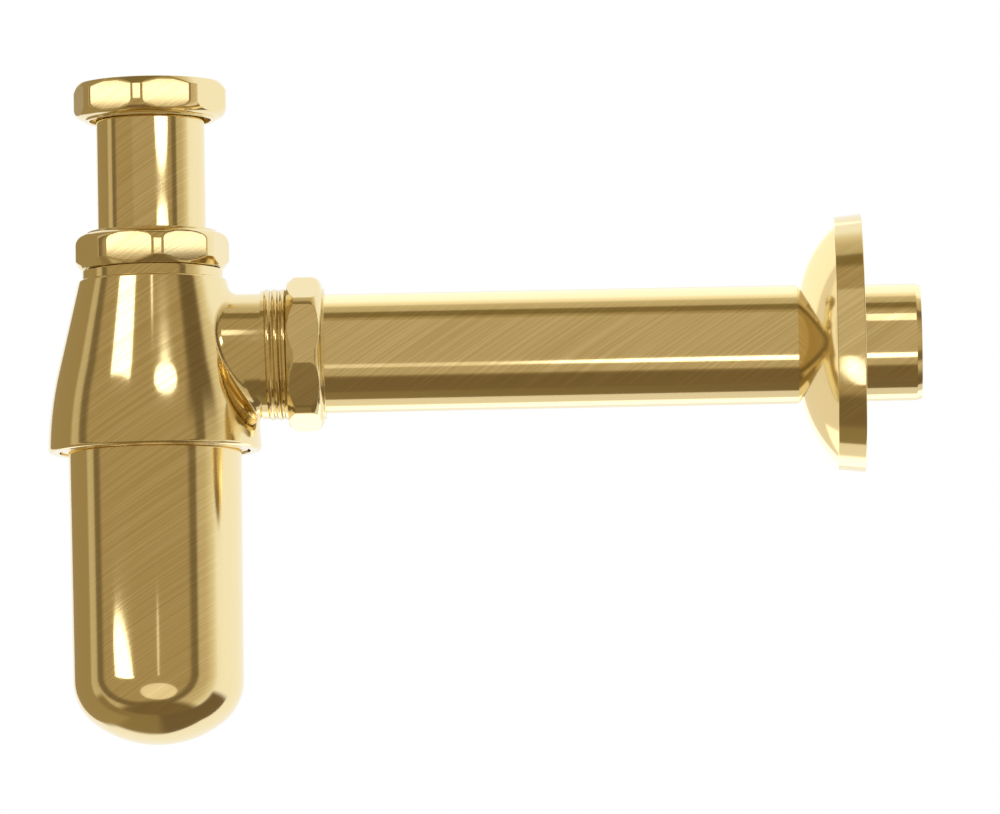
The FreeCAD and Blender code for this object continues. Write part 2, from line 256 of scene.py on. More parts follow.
@dataclass(frozen=True)
class MouldedFinish:
    """A plain moulded material, such as rubber or plastic: even colour, soft sheen and a fine grain."""

    name: str
    colour: str
    roughness: float
    grain_mm: float = 0.4
    grain_depth_mm: float = 0.02
    grain_strength: float = 0.3

    def build(self) -> bpy.types.Material:
        """Makes the material.

        Returns:
            The material.
        """
        material = bpy.data.materials.new(self.name)
        material.use_nodes = True
        tree = material.node_tree
        shader = tree.nodes["Principled BSDF"]
        shader.inputs["Base Color"].default_value = linear(self.colour)
        shader.inputs["Roughness"].default_value = self.roughness
        place = add_node(tree, "ShaderNodeTexCoord")
        grain = add_node(tree, "ShaderNodeTexNoise", {}, {
            "Vector": place.outputs["Object"], "Scale": 1 / (self.grain_mm * MM),
        })
        bump = add_node(tree, "ShaderNodeBump", {}, {
            "Height": grain.outputs["Fac"], "Strength": self.grain_strength,
            "Distance": self.grain_depth_mm * MM,
        })
        tree.links.new(bump.outputs["Normal"], shader.inputs["Normal"])
        return material


# Brass that was buffed to a mirror: the outside shows the room in gold, with crisp edges to the highlights.
BRASS = PolishedBrass()
# Brass as it was drawn: bores only glow softly, with no clear reflections.
DRAWN_BRASS = PolishedBrass("drawn_brass", roughness=0.5)
# Moulded nitrile rubber: nearly black, with a dull sheen.
RUBBER = MouldedFinish("black_rubber", "1d1c1b", 0.55)
# Moulded polyethylene: milky white and a little waxy.
PLASTIC = MouldedFinish("white_plastic", "e9e6dd", 0.4)


@dataclass(frozen=True)
class Corner:
    """A corner of a turned section, in millimetres out from the axis and along it, and its edge's radius."""

    out: float
    along: float
    edge: float = 0.0

    def spot(self) -> np.ndarray:
        """The corner as a point of the section."""
        return np.array((self.out, self.along))


def bend(middle: tuple[float, float], radius: float, start_deg: float, end_deg: float,
         steps: int = ARC_STEPS) -> list[Corner]:
    """Points on an arc of a section, its ends included.

    Args:
        middle: The arc's centre, out from the axis and along it.
        radius: The arc's radius.
        start_deg: Angle of the first point, from straight out.
        end_deg: Angle of the last point.
        steps: Number of chords.

    Returns:
        The points, without edge rounds.
    """
    out, along = middle
    angles = np.radians(np.linspace(start_deg, end_deg, steps + 1))
    return [Corner(out + radius * math.cos(angle), along + radius * math.sin(angle)) for angle in angles]


def outline(corners: list[Corner], step: float = math.inf) -> np.ndarray:
    """Rounds the corners of a section and splits its long straight runs.

    Args:
        corners: The corners, anticlockwise, so that the metal is on the left.
        step: Longest straight run to leave in one piece.

    Returns:
        The points of the section, one row each.
    """
    points: list[np.ndarray] = []
    for index, corner in enumerate(corners):
        here = corner.spot()
        if corner.edge == 0.0:
            points.append(here)
            continue
        back = corners[index - 1].spot() - here
        ahead = corners[(index + 1) % len(corners)].spot() - here
        back /= np.linalg.norm(back)
        ahead /= np.linalg.norm(ahead)
        half = math.acos(float(back @ ahead)) / 2
        middle = here + (back + ahead) / np.linalg.norm(back + ahead) * corner.edge / math.sin(half)
        start = here + back * corner.edge / math.tan(half) - middle
        turn = math.pi - 2 * half
        if back[0] * ahead[1] - back[1] * ahead[0] > 0:
            turn = -turn
        for share in np.linspace(0.0, 1.0, EDGE_STEPS + 1):
            cos, sin = math.cos(turn * share), math.sin(turn * share)
            swung = (start[0] * cos - start[1] * sin, start[0] * sin + start[1] * cos)
            points.append(middle + np.array(swung))
    split: list[np.ndarray] = []
    for here, ahead in zip(points, points[1:] + points[:1]):
        pieces = max(1, math.ceil(float(np.linalg.norm(ahead - here)) / step))
        split += [here + (ahead - here) * at / pieces for at in range(pieces)]
    return np.array(split)


def skin(name: str, rings: np.ndarray, closed: bool) -> bpy.types.Mesh:
    """Covers a stack of rings with quads, and with fans where a ring has shrunk to a pole.

    Args:
        name: The mesh's name.
        rings: Points in millimetres, as ring, place round it, and x, y and z.
        closed: Whether the last ring joins the first one.

    Returns:
        The mesh in metres, smooth, with flats that stay flat up to their rounded edges.
    """
    around = rings.shape[1]
    vertices: list[np.ndarray] = []
    numbers: list[np.ndarray] = []
    for ring in rings:
        pole = np.abs(ring[:, :2]).max() < POLE_MM
        numbers.append(np.full(around, len(vertices)) if pole else len(vertices) + np.arange(around))
        vertices.extend(ring[:1] if pole else ring)
    following = numbers[1:] + numbers[:1] if closed else numbers[1:]
    faces = []
    for lower, upper in zip(numbers, following):
        for quad in zip(lower, np.roll(lower, -1), np.roll(upper, -1), upper):
            faces.append(list(dict.fromkeys(int(number) for number in quad)))
    mesh = bpy.data.meshes.new(name)
    mesh.from_pydata(np.array(vertices) * MM, [], faces)
    smooth(mesh)
    return mesh


def smooth(mesh: bpy.types.Mesh) -> None:
    """Shades a mesh smooth, with the larger faces round each vertex leading its normal.

    Args:
        mesh: The mesh to shade.
    """
    areas = np.empty(len(mesh.polygons))
    mesh.polygons.foreach_get("area", areas)
    facings = np.empty(len(mesh.polygons) * 3)
    mesh.polygons.foreach_get("normal", facings)
    counts = np.empty(len(mesh.polygons), dtype=int)
    mesh.polygons.foreach_get("loop_total", counts)
    owners = np.empty(len(mesh.loops), dtype=int)
    mesh.loops.foreach_get("vertex_index", owners)
    totals = np.zeros((len(mesh.vertices), 3))
    np.add.at(totals, owners, np.repeat(facings.reshape(-1, 3) * areas[:, None], counts, axis=0))
    totals /= np.linalg.norm(totals, axis=1, keepdims=True)
    mesh.polygons.foreach_set("use_smooth", np.ones(len(mesh.polygons), dtype=bool))
    mesh.normals_split_custom_set_from_vertices(totals)


def turned(name: str, points: np.ndarray, closed: bool = True) -> bpy.types.Mesh:
    """Turns a section about its own axis, and marks the walls of its bores for the second finish.

    Args:
        name: The mesh's name.
        points: The section, out and along, anticlockwise.
        closed: Whether the section is a loop; if not, its ends lie on the axis.

    Returns:
        The mesh.
    """
    angles = np.arange(SEGMENTS) * 2 * math.pi / SEGMENTS
    out, along = points[:, :1], points[:, 1:]
    rings = np.stack((out * np.cos(angles), out * np.sin(angles), along + 0 * angles), axis=-1)
    mesh = skin(name, rings, closed)
    for face in mesh.polygons:
        inward = -face.center.xy.dot(face.normal.xy)
        face.material_index = int(inward > BORE_FACING * face.center.xy.length)
    return mesh


@dataclass(frozen=True)
class Thread:
    """A right-hand screw thread, in millimetres: a ridge that winds round a wall and fades at both ends."""

    pitch: float
    wall: float
    crest: float
    length: float
    crest_share: float = 0.22
    base_share: float = 0.9
    sink: float = 0.05
    fade_turns: float = 0.3
    steps_a_turn: int = 96

    def build(self, name: str, tree: bpy.types.NodeTree, material: bpy.types.Material) -> bpy.types.Mesh:
        """Winds the ridge, starting at the origin and rising along +Z.

        Args:
            name: The mesh's name.
            tree: The thread's Geometry Nodes tree.
            material: The finish.

        Returns:
            The ridge as a plain mesh.
        """
        values = {
            "Wall Radius": self.wall * MM,
            "Rise": (abs(self.crest - self.wall) + self.sink) * MM,
            "Sink": self.sink * MM,
            "Crest Width": self.pitch * self.crest_share * MM,
            "Base Width": self.pitch * self.base_share * MM,
            "Length": self.length * MM,
            "Turns": self.length / self.pitch,
            "Fade Turns": self.fade_turns,
            "Side": 1.0 if self.crest > self.wall else -1.0,
            "Steps": self.steps_a_turn,
            "Finish": material,
        }
        blank = bpy.data.meshes.new(name)
        holder = bpy.data.objects.new(name, blank)
        bpy.context.scene.collection.objects.link(holder)
        modifier = holder.modifiers.new("thread", "NODES")
        modifier.node_group = tree
        for item in tree.interface.items_tree:
            if item.name in values:
                modifier[item.identifier] = values[item.name]
        evaluated = holder.evaluated_get(bpy.context.evaluated_depsgraph_get())
        mesh = bpy.data.meshes.new_from_object(evaluated)
        holder.modifiers.remove(modifier)
        bpy.data.objects.remove(holder)
        bpy.data.meshes.remove(blank)
        mesh.name = name
        return mesh


def thread_tree() -> bpy.types.NodeTree:
    """Builds the Geometry Nodes tree that winds a trapezoid ridge along a spiral.

    Returns:
        The tree, with its sizes as named inputs.
    """
    tree = bpy.data.node_groups.new("screw_thread", "GeometryNodeTree")
    tree.interface.new_socket("Mesh", in_out="OUTPUT", socket_type="NodeSocketGeometry")
    lengths = ("Wall Radius", "Rise", "Sink", "Crest Width", "Base Width", "Length")
    for name in (*lengths, "Turns", "Fade Turns", "Side"):
        tree.interface.new_socket(name, in_out="INPUT", socket_type="NodeSocketFloat")
    tree.interface.new_socket("Steps", in_out="INPUT", socket_type="NodeSocketInt")
    tree.interface.new_socket("Finish", in_out="INPUT", socket_type="NodeSocketMaterial")
    given = add_node(tree, "NodeGroupInput").outputs
    spiral = add_node(tree, "GeometryNodeCurveSpiral", {}, {
        "Resolution": given["Steps"], "Rotations": given["Turns"], "Start Radius": given["Wall Radius"],
        "End Radius": given["Wall Radius"], "Height": given["Length"], "Reverse": True,
    })
    upright = add_node(tree, "GeometryNodeSetCurveNormal", {"mode": "Z_UP"}, {
        "Curve": spiral.outputs["Curve"],
    })
    ridge = add_node(tree, "GeometryNodeCurvePrimitiveQuadrilateral", {"mode": "TRAPEZOID"}, {
        "Height": given["Rise"], "Bottom Width": given["Base Width"], "Top Width": given["Crest Width"],
        "Offset": 0.0,
    })
    # The ridge points away from the axis, or towards it on the inside of a nut, with its foot in the wall.
    half_rise = add_node(tree, "ShaderNodeMath", {"operation": "MULTIPLY"}, {0: given["Rise"], 1: 0.5})
    lift = add_node(tree, "ShaderNodeMath", {"operation": "SUBTRACT"}, {
        0: half_rise.outputs[0], 1: given["Sink"],
    })
    outward = add_node(tree, "ShaderNodeMath", {"operation": "MULTIPLY"}, {
        0: lift.outputs[0], 1: given["Side"],
    })
    shift = add_node(tree, "ShaderNodeCombineXYZ", {}, {"X": outward.outputs[0]})
    quarter_turn = add_node(tree, "ShaderNodeMath", {"operation": "MULTIPLY"}, {
        0: given["Side"], 1: -math.pi / 2,
    })
    turn = add_node(tree, "ShaderNodeCombineXYZ", {}, {"Z": quarter_turn.outputs[0]})
    section = add_node(tree, "GeometryNodeTransform", {}, {
        "Geometry": ridge.outputs["Curve"], "Translation": shift.outputs[0], "Rotation": turn.outputs[0],
    })
    # The ridge grows from one end and dwindles to the other, each over the turns given for that.
    share = add_node(tree, "GeometryNodeSplineParameter").outputs["Factor"]
    left = add_node(tree, "ShaderNodeMath", {"operation": "SUBTRACT"}, {0: 1.0, 1: share})
    to_end = add_node(tree, "ShaderNodeMath", {"operation": "MINIMUM"}, {0: share, 1: left.outputs[0]})
    turns_to_end = add_node(tree, "ShaderNodeMath", {"operation": "MULTIPLY"}, {
        0: to_end.outputs[0], 1: given["Turns"],
    })
    fade = add_node(tree, "ShaderNodeMath", {"operation": "DIVIDE"}, {
        0: turns_to_end.outputs[0], 1: given["Fade Turns"],
    })
    fullness = add_node(tree, "ShaderNodeClamp", {}, {
        "Value": fade.outputs[0], "Min": THREAD_TIP, "Max": 1.0,
    })
    wound = add_node(tree, "GeometryNodeCurveToMesh", {}, {
        "Curve": upright.outputs["Curve"], "Profile Curve": section.outputs["Geometry"],
        "Scale": fullness.outputs["Result"], "Fill Caps": True,
    })
    real = add_node(tree, "GeometryNodeRealizeInstances", {}, {"Geometry": wound.outputs["Mesh"]})
    dressed = add_node(tree, "GeometryNodeSetMaterial", {}, {
        "Geometry": real.outputs["Geometry"], "Material": given["Finish"],
    })
    add_node(tree, "NodeGroupOutput", {}, {"Mesh": dressed.outputs["Geometry"]})
    return tree


@dataclass(frozen=True)
class Workshop:
    """The trap's finishes and the tree of its threads. Bores keep the duller skin of the drawn tube."""

    finishes: dict[Slot, bpy.types.Material]
    bore: bpy.types.Material
    threads: bpy.types.NodeTree

    def dress_node(self, node: str, slot: Slot) -> None:
        """Gives a CAD node its finish.

        Args:
            node: The node's name.
            slot: Its material slot.
        """
        piece = frame["nodes"][node]
        piece.data.materials.clear()
        piece.data.materials.append(self.finishes[slot])
        log.info("dressed %s", node)

    def add_brass(self, mesh: bpy.types.Mesh, body: str, *nodes: str) -> None:
        """Adds a brass piece to the trap.

        Args:
            mesh: The piece's mesh, in place in the frame.
            body: The CAD body that it moves with.
            nodes: CAD nodes that it stands for.
        """
        piece = bpy.data.objects.new(mesh.name, mesh)
        bpy.context.scene.collection.objects.link(piece)
        # A thread has its finish from its tree.
        if not mesh.materials:
            mesh.materials.append(self.finishes[Slot.BRASS])
        if any(face.material_index for face in mesh.polygons):
            mesh.materials.append(self.bore)
        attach(piece, body)
        if nodes:
            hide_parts(*nodes)
        log.info("made %s", mesh.name)

    def wind(self, thread: Thread, name: str, body: str, place: Matrix) -> None:
        """Adds a screw thread to the trap.

        Args:
            thread: The thread.
            name: The piece's name.
            body: The CAD body that it moves with.
            place: Where it starts, with its axis along +Z.
        """
        ridge = thread.build(name, self.threads, self.finishes[Slot.BRASS])
        ridge.transform(place)
        self.add_brass(ridge, body)


@dataclass(frozen=True)
class UnionNut:
    """An octagon union nut, forged and turned, with its mouth at its own origin. In millimetres."""

    name: str
    hole: float
    axis: Axis
    base: tuple[float, float, float]
    turn_deg: float = -15.5
    height: float = 11.0
    half_flats: float = 21.5
    turned_radius: float = 22.7
    chamfer_height: float = 2.2
    chamfer_depth: float = 1.5
    shoulder_round: float = 3.4
    shoulder_end_deg: float = 84.0
    shoulder_steps: int = 14
    lip: float = 0.6
    floor: float = 2.2
    thread_start: float = 0.8
    thread_length: float = 4.4
    thread_wall: float = 19.95
    thread_crest: float = 19.5
    relief: float = 20.0
    edge: float = 0.25
    mouth_edge: float = 0.4
    chamfer_edge: float = 0.5
    lip_root: float = 0.15
    hole_edge: float = 0.35
    relief_root: float = 0.3
    corner_blend: float = 0.16
    step: float = 0.45
    # Points gather where a flat meets the turning. The meeting stays between two shares of the way to the
    # flat's corner. To each side, the points reach an angle in radians, or a share of what is left.
    nearest_meeting: float = 0.2
    farthest_meeting: float = 0.92
    meeting_reach: float = 0.02
    reach_share: float = 0.6
    flat_points: int = 7
    meeting_points: int = 9
    corner_points: int = 4

    def section(self) -> np.ndarray:
        """Draws the section of the round blank, before the flats are forged.

        Returns:
            The points of the section, close enough together to take the curves of the flats' ends.
        """
        lip_radius = self.turned_radius - self.shoulder_round
        shoulder = self.height - self.lip
        inside = self.height - self.floor
        middle = (lip_radius, shoulder - self.shoulder_round)
        corners = [
            Corner(self.thread_wall, 0.0, self.mouth_edge),
            Corner(self.turned_radius - self.chamfer_depth, 0.0, self.edge),
            Corner(self.turned_radius, self.chamfer_height, self.chamfer_edge),
            *bend(middle, self.shoulder_round, 0.0, self.shoulder_end_deg, self.shoulder_steps),
            Corner(lip_radius, shoulder, self.lip_root),
            Corner(lip_radius, self.height, self.edge),
            Corner(self.hole, self.height, self.hole_edge),
            Corner(self.hole, inside, self.edge),
            Corner(self.relief, inside, self.relief_root),
            Corner(self.relief, self.thread_length),
            Corner(self.thread_wall, self.thread_length),
        ]
        return outline(corners, self.step)

    def spread(self, radius: float) -> np.ndarray:
        """Angles of half a flat, from its middle to its corner, gathered where the flat meets the turning.

        Args:
            radius: The turned radius at this height.

        Returns:
            The angles in radians.
        """
        corner = math.pi / NUT_FLATS
        meeting = math.acos(min(1.0, self.half_flats / radius))
        meeting = min(max(meeting, corner * self.nearest_meeting), corner * self.farthest_meeting)
        reach = min(self.meeting_reach, (corner - meeting) * self.reach_share)
        flat = np.linspace(0.0, meeting - reach, self.flat_points)
        edge = np.linspace(meeting - reach, meeting + reach, self.meeting_points)
        rest = np.linspace(meeting + reach, corner, self.corner_points)
        return np.concatenate((flat, edge[1:], rest[1:]))

    def build(self, workshop: Workshop) -> None:
        """Makes the nut and the thread in its mouth.

        Args:
            workshop: The trap's finishes and threads.
        """
        turns = np.arange(NUT_FLATS) * 2 * math.pi / NUT_FLATS
        rings = []
        for out, along in self.section():
            half = self.spread(out)
            sector = np.concatenate((-half[:0:-1], half[:-1]))
            angles = np.concatenate([sector + turn for turn in turns])
            flats = np.tile(self.half_flats / np.cos(sector), NUT_FLATS)
            # Where the flat and the turning are nearly level, the edge between them is blended away.
            near = np.maximum(self.corner_blend - np.abs(flats - out), 0.0) / self.corner_blend
            radii = np.minimum(flats, out) - near ** 2 * self.corner_blend / 4
            headings = angles + math.radians(self.turn_deg)
            level = np.full_like(radii, along)
            rings.append(np.stack((radii * np.cos(headings), radii * np.sin(headings), level), axis=-1))
        place = self.axis.stand(self.base)
        mesh = skin(self.name + "_forging", np.array(rings), True)
        mesh.transform(place)
        workshop.add_brass(mesh, self.name, self.name)
        wound = self.thread_length - self.thread_start
        thread = Thread(UNION_PITCH_MM, self.thread_wall, self.thread_crest, wound)
        start = Matrix.Translation((0.0, 0.0, self.thread_start * MM))
        workshop.wind(thread, self.name + "_thread", self.name, place @ start)


@dataclass(frozen=True)
class InletUnion:
    """The inlet nut with the collared tube and the washer that it clamps. In millimetres."""

    bore: float = 14.8
    radius: float = 16.0
    collar: float = COLLAR_RADIUS_MM
    bottom: float = -156.0
    collar_bottom: float = -8.8
    collar_top: float = -6.8
    edge: float = 0.4
    foot_bore_edge: float = 0.3
    top_bore_edge: float = 0.5
    collar_root: float = 0.6

    def build(self, workshop: Workshop) -> None:
        """Makes the tube and the nut, and dresses the washer.

        Args:
            workshop: The trap's finishes and threads.
        """
        corners = [
            Corner(self.bore, self.bottom, self.foot_bore_edge),
            Corner(self.radius, self.bottom, self.edge),
            Corner(self.radius, self.collar_bottom, self.collar_root),
            Corner(self.collar, self.collar_bottom, self.edge),
            Corner(self.collar, self.collar_top, self.edge),
            Corner(self.bore, self.collar_top, self.top_bore_edge),
        ]
        tube = turned("inlet_tube_drawn", outline(corners))
        workshop.add_brass(tube, "inlet_tube", "inlet_tube")
        UnionNut("inlet_union_nut", COLLAR_NUT_HOLE_MM, Axis.DOWN, (0.0, 0.0, 0.0)).build(workshop)
        workshop.dress_node("inlet_washer", Slot.RUBBER)


@dataclass(frozen=True)
class NeckUnion:
    """The neck nut with the slip ring and the seal that it presses round the inlet tube. In millimetres."""

    nut_hole: float = 16.4
    nut_mouth: float = -55.0

    def build(self, workshop: Workshop) -> None:
        """Makes the nut, and dresses the ring and the seal.

        Args:
            workshop: The trap's finishes and threads.
        """
        UnionNut("neck_nut", self.nut_hole, Axis.UP, (0.0, 0.0, self.nut_mouth)).build(workshop)
        workshop.dress_node("neck_slip_ring", Slot.PLASTIC)
        workshop.dress_node("neck_seal", Slot.RUBBER)


@dataclass(frozen=True)
class TrapBody:
    """The cast bell, with the threads of its neck and of its side outlet. In millimetres."""

    thread_root: float = 18.95
    thread_crest: float = 19.4
    neck_thread_bottom: float = -55.2
    neck_thread_length: float = 6.6
    outlet_thread_start: float = 32.6
    outlet_thread_length: float = 11.2

    def build(self, workshop: Workshop) -> None:
        """Dresses the casting and winds its two threads.

        Args:
            workshop: The trap's finishes and threads.
        """
        workshop.dress_node("trap_body", Slot.BRASS)
        neck = Axis.UP.stand((0.0, 0.0, self.neck_thread_bottom))
        outlet = Axis.OUT.stand((self.outlet_thread_start, 0.0, OUTLET_LEVEL_MM))
        wound = {
            "neck_thread": (self.neck_thread_length, neck),
            "outlet_thread": (self.outlet_thread_length, outlet),
        }
        for name, (length, place) in wound.items():
            thread = Thread(UNION_PITCH_MM, self.thread_root, self.thread_crest, length)
            workshop.wind(thread, name, "trap_body", place)


@dataclass(frozen=True)
class Bottle:
    """The drawn cup with its threaded collar, and the ring that seals it in the bell. In millimetres."""

    wall: float = 1.2
    top_radius: float = 25.5
    bottom_radius: float = 25.1
    bottom: float = -195.4
    crown_radius: float = 31.0
    knuckle_radius: float = 16.0
    knuckle_steps: int = 24
    collar_root: float = 27.5
    collar_crest: float = 28.0
    collar_bottom: float = -108.7
    collar_top: float = -98.5
    collar_edge: float = 0.3
    rim_edge: float = 0.4
    thread_pitch: float = 2.0
    thread_start: float = 0.4
    thread_length: float = 9.2

    def dish(self, inset: float) -> list[Corner]:
        """Draws the bottom from the pole to the wall: a shallow crown that a tighter knuckle joins.

        Args:
            inset: How far it lies within the outside of the cup.

        Returns:
            The points of the section.
        """
        knuckle_out = self.bottom_radius - self.knuckle_radius
        crown_along = self.bottom + self.crown_radius
        rise = math.sqrt((self.crown_radius - self.knuckle_radius) ** 2 - knuckle_out ** 2)
        join_deg = -math.degrees(math.atan2(rise, knuckle_out))
        crown = bend((0.0, crown_along), self.crown_radius - inset, -90.0, join_deg)
        middle = (knuckle_out, crown_along - rise)
        knuckle = bend(middle, self.knuckle_radius - inset, join_deg, 0.0, self.knuckle_steps)
        return [Corner(0.0, crown[0].along), *crown[1:-1], *knuckle]

    def build(self, workshop: Workshop) -> None:
        """Makes the cup and its thread, and dresses the seal.

        Args:
            workshop: The trap's finishes and threads.
        """
        inner_radius = self.top_radius - self.wall
        corners = [
            *self.dish(0.0),
            Corner(self.top_radius, self.collar_bottom, self.collar_edge),
            Corner(self.collar_root, self.collar_bottom, self.collar_edge),
            Corner(self.collar_root, self.collar_top, self.rim_edge),
            Corner(inner_radius, self.collar_top, self.rim_edge),
            Corner(inner_radius, self.collar_bottom),
            *reversed(self.dish(self.wall)),
        ]
        cup = turned("bottle_cup_drawn", outline(corners), closed=False)
        workshop.add_brass(cup, "bottle_cup", "bottle_cup")
        thread = Thread(self.thread_pitch, self.collar_root, self.collar_crest, self.thread_length)
        place = Axis.UP.stand((0.0, 0.0, self.collar_bottom + self.thread_start))
        workshop.wind(thread, "bottle_cup_thread", "bottle_cup", place)
        workshop.dress_node("cup_seal", Slot.RUBBER)


@dataclass(frozen=True)
class OutletUnion:
    """The outlet nut with the gasket and the collared pipe that it draws to the body. In millimetres."""

    bore: float = 16.3
    radius: float = 17.5
    collar: float = COLLAR_RADIUS_MM
    collar_start: float = 46.5
    collar_end: float = 48.5
    spigot_start: float = 209.6
    spigot_radius: float = 17.2
    bevel_start: float = 224.5
    bevel: float = 0.5
    end: float = 226.0
    nut_mouth: float = 39.7
    edge: float = 0.4
    collar_root: float = 0.5
    spigot_edge: float = 0.12
    bevel_edge: float = 0.6

    def build(self, workshop: Workshop) -> None:
        """Makes the pipe and the nut, and dresses the gasket.

        Args:
            workshop: The trap's finishes and threads.
        """
        corners = [
            Corner(self.bore, self.collar_start, self.edge),
            Corner(self.collar, self.collar_start, self.edge),
            Corner(self.collar, self.collar_end, self.edge),
            Corner(self.radius, self.collar_end, self.collar_root),
            Corner(self.radius, self.spigot_start, self.spigot_edge),
            Corner(self.spigot_radius, self.spigot_start, self.spigot_edge),
            Corner(self.spigot_radius, self.bevel_start, self.bevel_edge),
            Corner(self.spigot_radius - self.bevel, self.end, self.spigot_edge),
            Corner(self.bore, self.end, self.spigot_edge),
        ]
        pipe = turned("outlet_pipe_drawn", outline(corners))
        pipe.transform(Axis.OUT.stand((0.0, 0.0, OUTLET_LEVEL_MM)))
        workshop.add_brass(pipe, "outlet_pipe", "outlet_pipe")
        base = (self.nut_mouth, 0.0, OUTLET_LEVEL_MM)
        UnionNut("outlet_nut", COLLAR_NUT_HOLE_MM, Axis.OUT, base).build(workshop)
        workshop.dress_node("outlet_gasket", Slot.RUBBER)


@dataclass(frozen=True)
class WallFlange:
    """The pressed cover plate: a low dome that meets a straight rim at a crease. In millimetres."""

    hole: float = 17.8
    rim: float = 38.1
    depth: float = 19.3
    wall_distance: float = 209.0
    sheet: float = 1.1
    lead: float = 1.0
    slope: float = 0.27
    dome_radius: float = 40.0
    crease_inset: float = 0.9
    crease_edge: float = 0.45
    edge: float = 0.3

    def face(self, inset: float) -> list[Corner]:
        """Draws one face of the sheet, from the hole over the dome and the crease to the wall.

        Args:
            inset: How far it lies within the outside of the plate.

        Returns:
            The corners of the section.
        """
        tilt = math.atan(self.slope)
        middle = (
            self.hole + self.lead - self.dome_radius * math.sin(tilt),
            self.wall_distance - self.depth + self.slope * self.lead + self.dome_radius * math.cos(tilt),
        )
        radius = self.dome_radius - inset
        crease = self.rim - self.crease_inset - inset
        end_deg = -math.degrees(math.acos((crease - middle[0]) / radius))
        dome = bend(middle, radius, math.degrees(tilt) - 90.0, end_deg)
        return [
            Corner(self.hole, dome[0].along - self.slope * (dome[0].out - self.hole), self.edge),
            *dome[:-1],
            Corner(crease, dome[-1].along, self.crease_edge),
            Corner(self.rim - inset, self.wall_distance, self.edge),
        ]

    def build(self, workshop: Workshop) -> None:
        """Makes the plate.

        Args:
            workshop: The trap's finishes and threads.
        """
        section = [*self.face(0.0), *reversed(self.face(self.sheet))]
        plate = turned("wall_flange_pressed", outline(section))
        plate.transform(Axis.OUT.stand((0.0, 0.0, OUTLET_LEVEL_MM)))
        workshop.add_brass(plate, "wall_flange", "wall_flange")


def heading(turn_deg: float, elevation_deg: float) -> Vector:
    """Gives the direction that a surface faces.

    Args:
        turn_deg: Degrees to the right of straight towards the front.
        elevation_deg: Degrees above the horizon.

    Returns:
        The unit direction.
    """
    turn = math.radians(turn_deg)
    rise = math.radians(elevation_deg)
    return Vector((math.sin(turn) * math.cos(rise), -math.cos(turn) * math.cos(rise), math.sin(rise)))


@dataclass(frozen=True)
class StudioLamp:
    """A flagged lamp, hung where the camera sees its face mirrored at a spot of the trap.

    Its facing is that of the metal at the spot: degrees to the right of the front, and above the horizon.
    """

    name: str
    bodies: tuple[str, ...]
    spot_mm: tuple[float, float, float]
    facing_deg: tuple[float, float]
    distance_mm: float
    size_mm: tuple[float, float]
    brightness: float
    shape: LampShape = LampShape.OBLONG
    lean_deg: float = 0.0

    def build(self, camera: Vector) -> None:
        """Makes the lamp, with its power worked out from how bright its face looks.

        Args:
            camera: Where the camera stands, in millimetres.
        """
        lamp = bpy.data.lights.new(self.name, "AREA")
        lamp.shape = self.shape.value
        lamp.size, lamp.size_y = [side * MM for side in self.size_mm]
        area = lamp.size * lamp.size_y * (math.pi / 4 if self.shape is LampShape.OVAL else 1.0)
        lamp.energy = self.brightness * math.pi * area
        spot = Vector(self.spot_mm)
        mirrored = (spot - camera).normalized().reflect(heading(*self.facing_deg))
        holder = bpy.data.objects.new(self.name, lamp)
        holder.location = (spot + mirrored * self.distance_mm) * MM
        lean = Euler((0, 0, math.radians(self.lean_deg))).to_quaternion()
        holder.rotation_euler = (mirrored.to_track_quat("Z", "Y") @ lean).to_euler()
        holder.visible_camera = False
        bpy.context.scene.collection.objects.link(holder)
        lit = bpy.data.collections.new(self.name + "_lights")
        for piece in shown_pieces():
            if set(body_of(piece) or ()) & set(self.bodies):
                lit.objects.link(piece)
        holder.light_linking.receiver_collection = lit


@dataclass(frozen=True)
class DarkPatch:
    """A dark part of the room, which puts a dark edge into the metal.

    Each limit names an axis of the direction of view, and the values at which the patch begins and is full.
    """

    colour: str
    limits: tuple[tuple[str, float, float], ...]

    def add(self, tree: bpy.types.NodeTree, view: bpy.types.Node,
            room: bpy.types.NodeSocket) -> bpy.types.NodeSocket:
        """Lays the patch over the room's colour.

        Args:
            tree: The world's node tree.
            view: The node that splits the direction of view.
            room: The colour so far.

        Returns:
            The colour with the patch.
        """
        share = 1.0
        for axis, start, full in self.limits:
            inside = add_node(tree, "ShaderNodeMapRange", {"interpolation_type": "SMOOTHSTEP"}, {
                "Value": view.outputs[axis], "From Min": start, "From Max": full,
            })
            product = add_node(tree, "ShaderNodeMath", {"operation": "MULTIPLY"}, {
                0: inside.outputs[0], 1: share,
            })
            share = product.outputs[0]
        mix = add_node(tree, "ShaderNodeMix", {"data_type": "RGBA"}, {
            0: share, 6: room, 7: linear(self.colour),
        })
        return mix.outputs[2]


